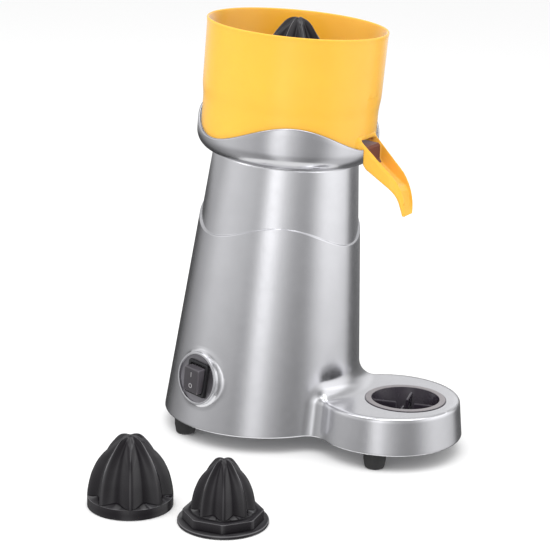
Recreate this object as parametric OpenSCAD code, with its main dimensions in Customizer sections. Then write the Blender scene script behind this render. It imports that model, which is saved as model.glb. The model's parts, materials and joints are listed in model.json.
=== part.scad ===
// Citrus press juicer.
// X points from the motor column to the glass stand, Z points up, Y = 0 is the plane of symmetry.
// The origin lies on the surface the feet stand on, under the foot of the column axis.
// "s" is a height along the leaning column axis, counted from the underside of the housing.

/* [Stance] */
// Height of the rubber feet
foot_h = 16; // [12:1:20]
// Forward lean of the motor column in degrees
lean = 4.3; // [3.5:0.1:5]
// Distance from the column to the middle of the glass stand
stand_x = 142; // [140:1:146]

/* [Column] */
// Radius of the column at its underside
column_r = 99.3; // [98:0.1:100]
// Radius that the column loses for each millimetre of height
column_taper = 0.0975; // [0.094:0.0005:0.1]
// Height of the column along its axis
column_s = 266; // [266:1:268]
// Mean height of the lobed step round the column
step_s = 200.2; // [190:0.1:205]
// Depth of the lobed step
step_d = 1.8; // [1:0.1:2.2]
// Wall thickness of the casting
wall = 3.4; // [3:0.1:4]

/* [Glass stand] */
// Radius of the stand at its underside
stand_r = 72.5; // [72:0.1:74]
// Height of the stand above its underside
stand_h = 36.6; // [35:0.1:38]
// Radius of the hollow corner between column and stand
waist_r = 20; // [16:1:24]
// Distance from the column to the middle of the drip cup
cup_x = 159.1; // [158:0.1:160]
// Radius of the drip cup's rim
cup_r = 39.7; // [38:0.1:40]

/* [Collar and bowl] */
// Outer radius of the collar that holds the bowl
collar_r = 88.8; // [88.5:0.1:89.5]
// Mean height of the collar's lobed edge
collar_edge_s = 298; // [296:1:299]
// Height of a lobe above or below the mean
lobe_h = 11.7; // [10:0.1:12]
// Height of the bowl's rim
rim_s = 394.4; // [385:0.1:400]
// Outer radius of the bowl
bowl_r = 87; // [86.8:0.1:87.2]
// Wall thickness of the bowl
bowl_t = 2.5; // [2.2:0.1:2.8]

/* [Reamers] */
// Radius and height of the reamer on the shaft
reamer_size = [36, 71]; // [30:1:80]
// Radius and height of the large spare reamer
large_size = [38.7, 66.5]; // [30:1:80]
// Radius and height of the small spare reamer's dome
small_size = [28.6, 47.6]; // [24:1:60]
// Where the large spare reamer stands
large_at = [5.5, -255.8]; // [-300:1:300]
// Where the small spare reamer stands
small_at = [96.2, -246]; // [-300:1:300]

/* [Motor] */
// Radius of the stator stack
stator_r = 58; // [56:1:60]
// Height of the stator stack
stack_h = 62; // [50:1:62]
// Radius of the drive shaft
shaft_r = 7; // [6.5:0.1:7.5]
// Radial running clearance of the shaft
run_gap = 0.05; // [0.03:0.01:0.08]

/* [Hidden] */
$fn = 96;
LOBES = 3;
RIBS = 8;
foot_xy = [[-48, 72], [-48, -72], [155, 58], [155, -58]];
plate_screw_xy = [[-87.5, 0], [40.5, 78.4], [40.5, -78.4], [204, 0]];
axis_x = 0.5;
plate_t = 2;
deck_t = 6;
skin_t = 4;
stand_wall = 4.5;
stand_top_r = stand_r - 3.5;
neck_r = 70.5;
stand_edge_r = 3.5;
root_r = 16;
foot_r = [9.25, 11];
boss_r = 9;
pilot_r = 2;
boss_top = 50 - foot_h;
rebate_d = 2;
lip_t = 3.2;
cup_depth = 27;
cup_t = 2.2;
cup_wall_r = 36;
gasket_t = 1;
collar_t = 2.8;
collar_bend = 18;
hub_r = 17;
hub_top = 296;
seal_r = 13;
stack_s = 150;
bell_h = 24;
bell_t = 4;
bearing_w = 10;
bearing_r = 16;
bolt_ring = 53.5;
leg_ring = 45;
collar_screw_ring = 50;
bowl_floor_s = 286.5;
bowl_bend = 15.5;
skirt_s = 283.5;
lower_r = 85.5;
tube_r = 22;
tube_top = 312;
ledge_s = 311;
strainer_r = 83.1;
strainer_hole_r = 38;
strainer_t = 1.6;
reamer_s = 329;
shaft_top = reamer_s + 46;
pin_s = reamer_s + 23;
switch_turn = -106;
switch_s = 49.5;
inlet_s = 22;
rocker_tilt = 6;
rocker_w = 19.8;
pivot_up = 1;
pin_r = 1.2;
cup_turn = 13;
cup_hub_r = 9;
stand_cut = [87, 80];
hollow_h = 10;
large_turn = -12;
small_turn = -15;
eps = 0.01;

// Radius of the lower column at height s
function column_at(s) = column_r - column_taper * s;

// Points of an arc about c, from angle a to angle b
function arc(c, r, a, b, n = 8) =
    [for (i = [0:n]) c + r * [cos(a + (b - a) * i / n), sin(a + (b - a) * i / n)]];

// Radius of a reamer's rib at height z of a dome of radius r and height h
function rib(r, h, z) = r * pow(max(0, 1 - pow(z / h, 2.1)), 0.62);

// Places children on the leaning column axis
module on_axis() {
    translate([axis_x, 0, foot_h]) rotate([0, lean, 0]) children();
}

// Places children on the column's surface, +Z outwards and +X down the wall
module on_wall(turn, s) {
    on_axis() rotate([0, 0, turn]) translate([column_at(s), 0, s])
        rotate([0, 90 - atan(column_taper), 0]) children();
}

// Ring from s0 to s1, with the wall between radius r0 and r1
module ring(s0, s1, r0, r1) {
    translate([0, 0, s0]) difference() {
        cylinder(h = s1 - s0, r = r1);
        translate([0, 0, -1]) cylinder(h = s1 - s0 + 2, r = r0);
    }
}

// What lies above a lobed edge: everything over its crests, and a round notch at each low point
module above_lobes(mean_s, height, notch_r, r_in, r_out) {
    low_s = mean_s - height;
    half = sqrt(pow(notch_r, 2) - pow(notch_r - 2 * height, 2)) + 2;
    ring(mean_s + height, mean_s + height + 40, r_in, r_out);
    for (i = [0:LOBES - 1]) rotate([0, 0, i * 360 / LOBES]) intersection() {
        translate([r_in, 0, low_s + notch_r]) rotate([0, 90, 0]) cylinder(h = r_out - r_in, r = notch_r);
        translate([r_in - 1, -half, low_s - 1]) cube([r_out, 2 * half, 2 * height + 3]);
    }
}

// Countersunk or pan-headed screw with its head's underside at z = 0, pointing down
module screw(r, len, head_r, head_h) {
    translate([0, 0, -len]) cylinder(h = len, r = r);
    difference() {
        cylinder(h = head_h, r = head_r);
        for (a = [0, 90]) rotate([0, 0, a]) translate([-head_r * 0.6, -0.5, head_h * 0.5])
            cube([head_r * 1.2, 1, head_h]);
    }
}

// Upright block of the waist and the stand, drawn in by inset; r is the stand's own radius
module stand_block(inset, r, h) {
    c_r = column_r + waist_r;
    s_r = neck_r + waist_r;
    wx = (stand_x * stand_x + c_r * c_r - s_r * s_r) / (2 * stand_x);
    wy = sqrt(c_r * c_r - wx * wx);
    translate([stand_x, 0, 0]) cylinder(h = h, r = r - inset);
    difference() {
        linear_extrude(h) polygon([[0, 0], [wx, wy], [stand_x, 0], [wx, -wy]]);
        for (side = [-1, 1]) translate([wx, side * wy, -1]) cylinder(h = h + 2, r = waist_r + inset);
    }
}

module column_solid() {
    under = 20;
    crest = step_s + 15;
    on_axis() {
        difference() {
            translate([0, 0, -under])
                cylinder(h = crest + under, r1 = column_at(-under), r2 = column_at(crest));
            above_lobes(step_s, 10, 100, 60, 120);
        }
        cylinder(h = column_s, r1 = column_at(0) - step_d, r2 = column_at(column_s) - step_d);
    }
}

module stand_solid() {
    top = stand_h - stand_edge_r;
    draft = stand_r - stand_top_r;
    translate([stand_x, 0, foot_h]) rotate_extrude()
        polygon(concat([[0, 0], [stand_r, 0], [stand_r - draft * top / stand_h, top]],
            arc([stand_top_r - stand_edge_r, top], stand_edge_r, 0, 90), [[0, stand_h]]));
    translate([0, 0, foot_h]) stand_block(0, 10, stand_h);
}

// Hollow corner where the column rises out of the stand
module column_root() {
    foot_s = stand_h + column_r * sin(lean);
    root_x = column_at(foot_s) + root_r - 1;
    intersection() {
        on_axis() rotate_extrude() polygon(concat([[60, foot_s - 10], [60, foot_s + root_r]],
            arc([root_x, foot_s + root_r], root_r, 180, 270), [[root_x, foot_s - 10]]));
        translate([0, 0, foot_h]) stand_block(1, neck_r, 100);
    }
}

// Column and stand as one casting
module casting() difference() {
    union() {
        difference() {
            union() {
                column_solid();
                stand_solid();
                column_root();
                on_wall(switch_turn, switch_s) translate([0, 0, -8]) cylinder(h = 12.5, r = 26.5);
            }
            // Room inside the column, up to the deck that carries the motor
            on_axis() translate([0, 0, -20]) cylinder(h = column_s - deck_t + 20,
                r1 = column_at(-20) - step_d - wall, r2 = column_at(column_s - deck_t) - step_d - wall);
            // Room inside the stand and waist
            translate([0, 0, foot_h - 1]) stand_block(stand_wall, stand_r, stand_h - skin_t + 1);
        }
        for (p = foot_xy) translate([p[0], p[1], foot_h + plate_t])
            cylinder(h = boss_top - plate_t, r = boss_r);
        for (p = plate_screw_xy) translate([p[0], p[1], foot_h + plate_t])
            cylinder(h = boss_top - plate_t, r = 6.5);
    }
    // Open underside
    translate([-200, -200, -40]) cube([500, 400, 40 + foot_h]);
    for (p = foot_xy) translate([p[0], p[1], 0]) cylinder(h = 44, r = pilot_r);
    for (p = plate_screw_xy) translate([p[0], p[1], 0]) cylinder(h = 34, r = pilot_r);
    // Drip cup opening and the rebate for its rim
    translate([cup_x, 0, foot_h + stand_h - skin_t - 10]) cylinder(h = 20, r = cup_wall_r + 0.4);
    translate([cup_x, 0, foot_h + stand_h - rebate_d]) cylinder(h = 10, r = cup_r + 0.4);
    // Deck: shaft hole, motor screws with sunk heads, collar screws
    on_axis() {
        translate([0, 0, column_s - 20]) cylinder(h = 40, r = 15);
        for (a = [45:90:315]) rotate([0, 0, a]) translate([leg_ring, 0, 0]) {
            translate([0, 0, column_s - 20]) cylinder(h = 40, r = 2.6);
            translate([0, 0, column_s - 3]) cylinder(h = 10, r = 5);
        }
        for (a = [60:120:300]) rotate([0, 0, a]) translate([collar_screw_ring, 0, column_s - 20])
            cylinder(h = 40, r = pilot_r);
    }
    // Recess and cut-out for the switch
    on_wall(switch_turn, switch_s) {
        translate([0, 0, 1.5]) cylinder(h = 10, r = 23.6);
        translate([-15.6, -12.1, -20]) cube([31.2, 24.2, 40]);
    }
    // Seat and hole for the cable inlet bush
    on_wall(180, inlet_s) {
        translate([0, 0, -1]) cylinder(h = 10, r = 11);
        translate([0, 0, -15]) cylinder(h = 20, r = 8);
        translate([0, 0, -15]) cylinder(h = 9.2, r = 9.9);
    }
}

// Block that parts the stand from the column's housing
module stand_side() on_axis() translate([stand_cut[0], -150, -50]) cube([300, 300, 50 + stand_cut[1]]);

module housing() color("silver") difference() {
    casting();
    stand_side();
}

module stand() color("silver") intersection() {
    casting();
    stand_side();
}

module base_plate() color("dimgray") difference() {
    translate([0, 0, foot_h]) union() {
        translate([axis_x, 0, 0]) cylinder(h = plate_t, r = column_r - step_d - wall - 0.6);
        stand_block(stand_wall + 0.6, stand_r, plate_t);
    }
    for (p = concat(foot_xy, plate_screw_xy)) translate([p[0], p[1], foot_h - 1])
        cylinder(h = 5, r = 2.3);
    // Cooling slots under the fan
    for (row = [-4:4], side = [-1, 1]) translate([row * 9 - 2, side * 22 - 16, foot_h - 1])
        cube([4, 32, 5]);
}

module base_plate_screws() color("lightgray") for (p = plate_screw_xy) translate([p[0], p[1], foot_h])
    rotate([180, 0, 0]) screw(pilot_r, 14, 4, 2.2);

module feet() color([0.08, 0.08, 0.08]) for (p = foot_xy) translate([p[0], p[1], 0]) difference() {
    cylinder(h = foot_h, r1 = foot_r[0], r2 = foot_r[1]);
    translate([0, 0, -1]) cylinder(h = 8, r = 5.2);
    cylinder(h = foot_h + 1, r = 2.3);
}

module foot_screws() color("lightgray") for (p = foot_xy) translate([p[0], p[1], 7])
    rotate([180, 0, 0]) screw(pilot_r, 32, 4, 2.6);

module collar() color([0.78, 0.79, 0.8]) on_axis() {
    bottom = column_s + gasket_t;
    floor_s = bottom + collar_t;
    crest = collar_edge_s + lobe_h + 5;
    outer = arc([collar_r - collar_bend, bottom + collar_bend], collar_bend, -90, 0);
    inner = arc([collar_r - collar_bend, bottom + collar_bend], collar_bend - collar_t, 0, -90);
    difference() {
        rotate_extrude() polygon(concat([[seal_r, bottom]], outer,
            [[collar_r, crest], [collar_r - collar_t, crest]], inner,
            [[hub_r, floor_s], [hub_r, hub_top], [seal_r, hub_top]]));
        above_lobes(collar_edge_s, lobe_h, 100, 60, 120);
        for (a = [60:120:300]) rotate([0, 0, a]) translate([collar_screw_ring, 0, bottom - 1])
            cylinder(h = 10, r = 2.3);
    }
}

module collar_gasket() color([0.1, 0.1, 0.1]) on_axis() difference() {
    ring(column_s, column_s + gasket_t, 30, 69.5);
    for (a = [60:120:300]) rotate([0, 0, a]) translate([collar_screw_ring, 0, column_s - 1])
        cylinder(h = 5, r = 2.3);
}

module collar_screws() color("lightgray") on_axis() for (a = [60:120:300]) rotate([0, 0, a])
    translate([collar_screw_ring, 0, column_s + gasket_t + collar_t]) screw(pilot_r, 12, 4, 2.6);

module shaft_seal() color([0.12, 0.12, 0.12]) on_axis()
    ring(hub_top - 8, hub_top, shaft_r + run_gap, seal_r);

module motor_stator() color([0.45, 0.46, 0.48]) on_axis() difference() {
    ring(stack_s, stack_s + stack_h, 32, stator_r);
    for (a = [0:90:270]) rotate([0, 0, a]) translate([bolt_ring, 0, stack_s - 1])
        cylinder(h = stack_h + 2, r = 2.6);
    // Winding slots
    for (a = [0:15:345]) rotate([0, 0, a]) translate([31, -1.6, stack_s - 1]) cube([13, 3.2, stack_h + 2]);
}

module stator_windings() color([0.72, 0.4, 0.2]) on_axis() for (s = [stack_s - 15, stack_s + stack_h])
    rotate_extrude() polygon(concat([[34, s]], [[48, s]], arc([45, s + 12], 3, 0, 90, 3),
        arc([37, s + 12], 3, 90, 180, 3)));

// End bell as a cup that opens downwards, its rim at z = 0
module end_bell(leg) {
    difference() {
        union() {
            cylinder(h = bell_h, r = stator_r);
            translate([0, 0, bell_h - eps]) cylinder(h = 11, r = bearing_r + 4);
            if (leg > 0) for (a = [45:90:315]) rotate([0, 0, a]) translate([leg_ring, 0, bell_h - eps])
                cylinder(h = leg, r = 6);
        }
        translate([0, 0, -1]) cylinder(h = bell_h - bell_t + 1, r = 50);
        cylinder(h = 60, r = shaft_r + 1);
        translate([0, 0, bell_h]) cylinder(h = 20, r = bearing_r);
        for (a = [0:90:270]) rotate([0, 0, a]) translate([bolt_ring, 0, -1]) cylinder(h = 60, r = 2.6);
        if (leg > 0) for (a = [45:90:315]) rotate([0, 0, a]) translate([leg_ring, 0, bell_h + leg - 12])
            cylinder(h = 20, r = pilot_r);
        // Air windows
        for (a = [22.5:45:337.5]) rotate([0, 0, a]) translate([30, -5, 3]) cube([40, 10, bell_h - 10]);
    }
}

module top_end_bell() color("darkgray") on_axis() translate([0, 0, stack_s + stack_h])
    end_bell(column_s - deck_t - stack_s - stack_h - bell_h);

module bottom_end_bell() color("darkgray") on_axis() translate([0, 0, stack_s]) rotate([180, 0, 0])
    end_bell(0);

module motor_tie_bolts() color("lightgray") on_axis() for (a = [0:90:270]) rotate([0, 0, a])
    translate([bolt_ring, 0, stack_s + stack_h + bell_h]) screw(2.5, stack_h + 2 * bell_h, 4.2, 3);

module motor_screws() color("lightgray") on_axis() for (a = [45:90:315]) rotate([0, 0, a])
    translate([leg_ring, 0, column_s - 3]) screw(pilot_r, 14, 4.4, 2.6);

// Ball bearing from height s: two races and a shield between them, as one ring
module bearing(s) {
    difference() {
        ring(s, s + bearing_w, shaft_r + run_gap, bearing_r);
        for (face = [s - 1, s + bearing_w - 0.6]) ring(face, face + 1.6, shaft_r + 2.5, bearing_r - 2.5);
    }
}

module upper_bearing() color("gainsboro") on_axis() bearing(stack_s + stack_h + bell_h);

module lower_bearing() color("gainsboro") on_axis() bearing(stack_s - bell_h - bearing_w);

module rotor() color([0.5, 0.5, 0.52]) on_axis() {
    difference() {
        ring(stack_s, stack_s + stack_h, shaft_r, 31.4);
        for (a = [0:18:342]) rotate([0, 0, a]) translate([30.2, 0, stack_s - 1])
            cylinder(h = stack_h + 2, r = 0.6);
    }
    for (s = [stack_s - 5, stack_s + stack_h]) ring(s, s + 5, 22, 31);
}

module drive_shaft() color([0.8, 0.8, 0.82]) on_axis() {
    start = stack_s - bell_h - bearing_w - 24;
    difference() {
        union() {
            translate([0, 0, start]) cylinder(h = shaft_top - start - 1.5, r = shaft_r);
            translate([0, 0, shaft_top - 1.5 - eps])
                cylinder(h = 1.5 + eps, r1 = shaft_r, r2 = shaft_r - 1.5);
        }
        translate([-20, 0, pin_s]) rotate([0, 90, 0]) cylinder(h = 40, r = 2);
    }
}

module drive_pin() color([0.85, 0.85, 0.86]) on_axis() translate([-11, 0, pin_s]) rotate([0, 90, 0])
    cylinder(h = 22, r = 2);

module cooling_fan() color([0.2, 0.2, 0.22]) on_axis() {
    fan_s = stack_s - bell_h - bearing_w - 18;
    ring(fan_s, fan_s + 14, shaft_r, 13);
    ring(fan_s + 11.5, fan_s + 14, 12.5, 50);
    for (a = [0:36:324]) rotate([0, 0, a]) translate([12.5, -1, fan_s]) cube([36, 2, 12]);
}

module run_capacitor() color([0.85, 0.85, 0.8]) translate([-48, 30, foot_h + plate_t]) {
    cylinder(h = 58, r = 17.5);
    for (side = [-1, 1]) translate([-0.4, side * 6 - 3, 57]) cube([0.8, 6, 9]);
}

module capacitor_clamp() color([0.7, 0.7, 0.72]) translate([-48, 30, foot_h + plate_t]) difference() {
    union() {
        translate([0, 0, 24]) cylinder(h = 12, r = 18.7);
        translate([16, -6, 0]) cube([3, 12, 36]);
        translate([16, -6, 0]) cube([16, 12, 1.6]);
    }
    translate([0, 0, -1]) cylinder(h = 60, r = 17.5);
}

module terminal_block() color([0.9, 0.9, 0.86]) translate([20, 42, foot_h + plate_t]) difference() {
    cube([46, 18, 16]);
    for (i = [0:3]) translate([7 + i * 10.7, 9, 6]) cylinder(h = 20, r = 2.6);
    for (i = [0:3]) translate([7 + i * 10.7, -1, 6]) rotate([-90, 0, 0]) cylinder(h = 20, r = 2);
}

module switch_seal() color([0.1, 0.1, 0.1]) on_wall(switch_turn, switch_s) difference() {
    translate([-16.6, -13.1, 1.5]) cube([33.2, 26.2, 0.8]);
    translate([-15.4, -11.9, 0]) cube([30.8, 23.8, 5]);
}

module switch_body() color([0.06, 0.06, 0.07]) on_wall(switch_turn, switch_s) difference() {
    union() {
        translate([-17, -13.5, 2.3]) cube([34, 27, 2.2]);
        translate([-15.3, -11.8, -22]) cube([30.6, 23.6, 24.4]);
        for (x = [-9, 0, 9]) translate([x - 0.4, -3, -30]) cube([0.8, 6, 9]);
    }
    translate([-13.8, -10.2, -11]) cube([27.6, 20.4, 30]);
}

// Places children on the rocker's pivot, +Z along it
module on_pivot() {
    on_wall(switch_turn, switch_s) translate([0, 0, pivot_up]) rotate([90, rocker_tilt, 0]) children();
}

// The rocker is a tall block on a pivot just inside the frame, its upper end raised when the juicer is off
module switch_rocker() color([0.1, 0.1, 0.11]) on_pivot() translate([0, 0, -rocker_w / 2])
    linear_extrude(rocker_w) difference() {
        polygon([[-11.6, -4], [-12.5, 3], [-12.5, 10.2], [-11, 11.8], [11, 11.8], [12.5, 10.2], [12.5, 3],
            [11.6, -4]]);
        circle(r = pin_r + run_gap);
    }

module rocker_pin() color([0.8, 0.8, 0.82]) on_pivot() translate([0, 0, -rocker_w / 2 - 0.1])
    cylinder(h = rocker_w + 0.2, r = pin_r);

module cable_inlet_bush() color([0.08, 0.08, 0.08]) on_wall(180, inlet_s) difference() {
    union() {
        translate([0, 0, -1]) cylinder(h = 3.5, r1 = 10.6, r2 = 9.4);
        translate([0, 0, -8.4]) cylinder(h = 8, r = 7.9);
        translate([0, 0, -8.4]) cylinder(h = 2.4, r = 9.6);
    }
    translate([0, 0, -10]) cylinder(h = 20, r = 3.75);
}

module drip_cup() color([0.07, 0.07, 0.08]) translate([cup_x, 0, 0]) {
    seat = foot_h + stand_h - rebate_d;
    bottom = seat + lip_t - cup_depth;
    difference() {
        union() {
            translate([0, 0, seat]) cylinder(h = lip_t, r = cup_r);
            translate([0, 0, bottom]) cylinder(h = cup_depth - 1, r1 = 31, r2 = cup_wall_r);
        }
        translate([0, 0, bottom + cup_t]) cylinder(h = cup_depth, r1 = 27.5, r2 = 33.2);
    }
    // Four ribs that carry the foot of a glass
    difference() {
        for (a = [0, 90]) rotate([0, 0, a + cup_turn]) translate([-33, -1.3, bottom + 1])
            cube([66, 2.6, cup_depth - 6]);
        difference() {
            translate([0, 0, bottom - 1]) cylinder(h = 40, r = 60);
            translate([0, 0, bottom]) cylinder(h = cup_depth - 1, r1 = 30, r2 = 35);
        }
        translate([0, 0, bottom + cup_t]) cylinder(h = cup_depth, r = cup_hub_r);
    }
}

// Side views of the spout and of the channel cut into it, in X and Z above the underside of the housing
function spout_nose(r) = arc([105.5, 226], r, -7, 50, 10);
module spout_outer_side() polygon(concat([[151, 220.5]], spout_nose(48.5),
    [[108, 291.5], [102.8, 293.2], [95, 293.8], [95, 282.2], [104.6, 281.6], [111.5, 281], [111.4, 267]],
    [[114.5, 262.6], [138, 246]], arc([138.6, 238.6], 7.2, 85, 28, 4)));
module spout_channel_side() polygon([[153.6, 219.3], [147, 242.9], [144, 246.3], [139.4, 248],
    [116.4, 264.4], [113.7, 268.4], [113.8, 280.9], [112, 282.7], [104.7, 283.3], [90, 284.5],
    [90, 290.4], [108, 289], [111.4, 289], [116, 330], [190, 300], [190, 200], [160, 200]]);

// Turns a side view into a solid that is half_w to either side of the plane of symmetry
module from_side(half_w) translate([0, half_w, foot_h]) rotate([90, 0, 0])
    linear_extrude(2 * half_w) children();

// Plan of the spout: it narrows towards its lip; inset is the side wall
module spout_plan(inset) linear_extrude(500) polygon([[70, -18.5 + inset], [112, -18.5 + inset],
    [140, -14.9 + inset], [156, -10 + inset], [156, 10 - inset], [140, 14.9 - inset], [112, 18.5 - inset],
    [70, 18.5 - inset]]);

module bowl() color([1, 0.76, 0.2]) {
    lower_s = bowl_floor_s + bowl_bend;
    upper_s = 328;
    in_r = lower_r - bowl_t;
    // The floor's rounded corner runs out into the skirt, which reaches down inside the collar
    outer = concat([[0, bowl_floor_s]],
        arc([lower_r - bowl_bend, lower_s], bowl_bend, -90, -acos(1 - bowl_t / bowl_bend)),
        [[in_r, skirt_s], [lower_r, skirt_s], [lower_r, upper_s - 2.5], [bowl_r, upper_s],
            [bowl_r + 0.3, rim_s - 3], [bowl_r + 1, rim_s]]);
    inner = concat([[0, bowl_floor_s + bowl_t]],
        arc([lower_r - bowl_bend, lower_s], bowl_bend - bowl_t, -90, 0),
        [[in_r, upper_s], [bowl_r - bowl_t, upper_s + 2.5], [bowl_r - bowl_t + 0.3, rim_s - 3],
            [bowl_r - bowl_t + 0.8, rim_s + 1], [0, rim_s + 1]]);
    difference() {
        union() {
            on_axis() rotate_extrude() polygon(concat(outer, [[0, rim_s]]));
            intersection() {
                from_side(30) spout_outer_side();
                spout_plan(0);
            }
        }
        on_axis() rotate_extrude() polygon(inner);
        intersection() {
            from_side(30) spout_channel_side();
            spout_plan(bowl_t - 0.3);
        }
        on_axis() translate([0, 0, bowl_floor_s - 1]) cylinder(h = 20, r = tube_r - bowl_t);
    }
    // Ledge for the strainer
    on_axis() ring(ledge_s - 2.5, ledge_s, 80.5, in_r + 0.3);
}

// Tube round the shaft that keeps the juice in, closed in at its top
module bowl_sleeve() color([1, 0.76, 0.2]) on_axis() {
    ring(bowl_floor_s + bowl_t, tube_top, tube_r - bowl_t, tube_r);
    ring(tube_top - 2.5, tube_top, shaft_r + 2.5, tube_r);
}

// Ring that the bowl stands on inside the collar
module bowl_foot() color([1, 0.76, 0.2]) on_axis()
    ring(column_s + gasket_t + collar_t, bowl_floor_s, 58, 60.5);

module strainer() color([0.75, 0.76, 0.78]) on_axis() {
    slots = 72;
    top = ledge_s + strainer_t;
    difference() {
        ring(ledge_s, top, strainer_hole_r, strainer_r - 0.6);
        for (i = [0:slots - 1]) rotate([0, 0, i * 360 / slots]) {
            translate([45, -0.8, ledge_s - 1]) cube([15, 1.6, 5]);
            translate([64, -0.8, ledge_s - 1]) cube([14, 1.6, 5]);
        }
    }
    ring(ledge_s, top + 4, strainer_hole_r - 1.5, strainer_hole_r);
    ring(ledge_s, top + 5, strainer_r - 2, strainer_r - 0.6);
}

// Round groove of radius r whose bottom runs from a to b, each given as radius and height
module groove(a, b, r) {
    translate([a[0], 0, a[1]]) rotate([0, -atan2(a[0] - b[0], b[1] - a[1]), 0]) translate([r, 0, 0])
        cylinder(h = norm(b - a), r = r);
}

// Ribbed cone of radius size[0] and height size[1]. Each flute is a steep groove from the shelf at flute_z
// and a flatter one on to the tip
module ribbed_cone(size, flute_z) {
    r = size[0];
    h = size[1];
    n = 8;
    difference() {
        rotate_extrude() polygon(concat([[0, 0]],
            [for (i = [0:n]) let (z = h * (1 - pow(1 - i / n, 1.5))) [rib(r, h, z), z]]));
        for (i = [0:RIBS - 1]) rotate([0, 0, (i + 0.5) * 360 / RIBS]) {
            groove([0.73 * r, flute_z], [0.45 * r, h], 0.34 * r);
            groove([0.66 * r, 0.4 * h], [-0.12 * r, 1.06 * h], 0.34 * r);
        }
    }
}

// Under a reamer: a hollow of radius r, then the socket for the shaft with a slot for the cross pin
module reamer_underside(r, depth) {
    translate([0, 0, -1]) cylinder(h = hollow_h + 1, r = r);
    translate([0, 0, -1]) cylinder(h = depth + 1, r = shaft_r + 0.1);
    translate([-12.5, -2.3, -1]) cube([25, 4.6, pin_s - reamer_s + 3.4]);
}

module reamer() color([0.09, 0.09, 0.1]) on_axis() translate([0, 0, reamer_s]) difference() {
    ribbed_cone(reamer_size, 9);
    reamer_underside(25, shaft_top - reamer_s + 0.8);
}

module large_reamer() color([0.09, 0.09, 0.1]) translate([large_at[0], large_at[1], 0])
    rotate([0, 0, large_turn]) difference() {
        ribbed_cone(large_size, 10);
        reamer_underside(27, 42);
        translate([0, 0, -1]) rotate([0, 0, -38 - large_turn]) translate([large_size[0] - 6, -4, 0])
            cube([10, 8, 3]);
    }

module small_reamer() color([0.09, 0.09, 0.1]) translate([small_at[0], small_at[1], 0])
    rotate([0, 0, small_turn]) difference() {
        union() {
            cylinder(h = 3.3, r = 40.5);
            cylinder(h = 11.9, r = 36.5, $fn = 8);
            translate([0, 0, 11.8]) ribbed_cone(small_size, 0.5);
        }
        reamer_underside(19, 42);
    }

housing();
stand();
base_plate();
base_plate_screws();
feet();
foot_screws();
collar();
collar_gasket();
collar_screws();
shaft_seal();
motor_stator();
stator_windings();
top_end_bell();
bottom_end_bell();
motor_tie_bolts();
motor_screws();
upper_bearing();
lower_bearing();
rotor();
drive_shaft();
drive_pin();
cooling_fan();
run_capacitor();
capacitor_clamp();
terminal_block();
switch_seal();
switch_body();
switch_rocker();
rocker_pin();
cable_inlet_bush();
drip_cup();
bowl();
bowl_sleeve();
bowl_foot();
strainer();
reamer();
large_reamer();
small_reamer();
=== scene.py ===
import json
import math

import bmesh
import bpy
import numpy as np
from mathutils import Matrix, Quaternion, Vector

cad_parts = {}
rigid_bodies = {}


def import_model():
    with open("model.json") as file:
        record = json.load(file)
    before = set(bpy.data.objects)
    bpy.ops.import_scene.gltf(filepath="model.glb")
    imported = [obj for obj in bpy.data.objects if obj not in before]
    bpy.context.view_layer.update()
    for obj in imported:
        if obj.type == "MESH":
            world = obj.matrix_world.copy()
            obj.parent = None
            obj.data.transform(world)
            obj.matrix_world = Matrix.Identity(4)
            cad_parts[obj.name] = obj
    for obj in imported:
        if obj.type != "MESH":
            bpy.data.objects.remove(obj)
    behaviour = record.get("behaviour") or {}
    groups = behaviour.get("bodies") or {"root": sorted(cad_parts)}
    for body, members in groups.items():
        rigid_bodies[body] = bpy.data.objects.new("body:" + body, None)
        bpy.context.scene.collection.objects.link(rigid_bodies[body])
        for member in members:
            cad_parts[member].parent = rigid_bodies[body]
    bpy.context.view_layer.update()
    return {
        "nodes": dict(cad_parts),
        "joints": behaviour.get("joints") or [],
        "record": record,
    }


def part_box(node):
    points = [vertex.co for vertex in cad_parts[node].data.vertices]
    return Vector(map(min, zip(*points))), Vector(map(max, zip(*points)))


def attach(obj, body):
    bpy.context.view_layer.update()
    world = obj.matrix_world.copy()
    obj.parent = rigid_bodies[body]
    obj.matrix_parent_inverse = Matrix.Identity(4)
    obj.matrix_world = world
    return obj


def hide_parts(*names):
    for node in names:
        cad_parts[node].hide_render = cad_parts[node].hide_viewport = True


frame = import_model()

# ---- places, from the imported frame; lengths below are in millimetres ----
JOINT = {j["name"]: j for j in frame["joints"]}
AXIS = np.array(JOINT["drive_spin"]["axis"], float)
AXIS /= np.linalg.norm(AXIS)
FOOT = np.array(JOINT["drive_spin"]["pos_m"], float) * 1000 - 200 * AXIS
ACROSS = np.array([AXIS[2], 0, -AXIS[0]])
SIDE = np.array([0.0, 1.0, 0.0])
FLOOR_Z = FOOT[2]


CUP_X = np.mean([corner[0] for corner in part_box("drip_cup")]) * 1000
STAND_X = 142.0
COLUMN_R, TAPER = 99.3, 0.0975
WALL_TILT = math.pi / 2 - math.atan(TAPER)


def column_at(s):
    return COLUMN_R - TAPER * s


def on_axis(p):
    """Points given across, sideways and along the leaning column, turned into frame points"""
    p = np.asarray(p, float)
    return FOOT + p[..., :1] * ACROSS + p[..., 1:2] * SIDE + p[..., 2:3] * AXIS


def to_axis(p):
    d = p - FOOT
    return d @ ACROSS, d @ SIDE, d @ AXIS


def wall_frame(turn, s):
    """Origin and three directions of a spot on the column's wall: down the wall, sideways, outwards"""
    a = math.radians(turn)
    out = math.cos(a) * ACROSS + math.sin(a) * SIDE
    origin = FOOT + s * AXIS + column_at(s) * out
    c, n = math.cos(WALL_TILT), math.sin(WALL_TILT)
    down = c * out - n * AXIS
    outwards = n * out + c * AXIS
    return origin, down, -math.sin(a) * ACROSS + math.cos(a) * SIDE, outwards


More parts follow.
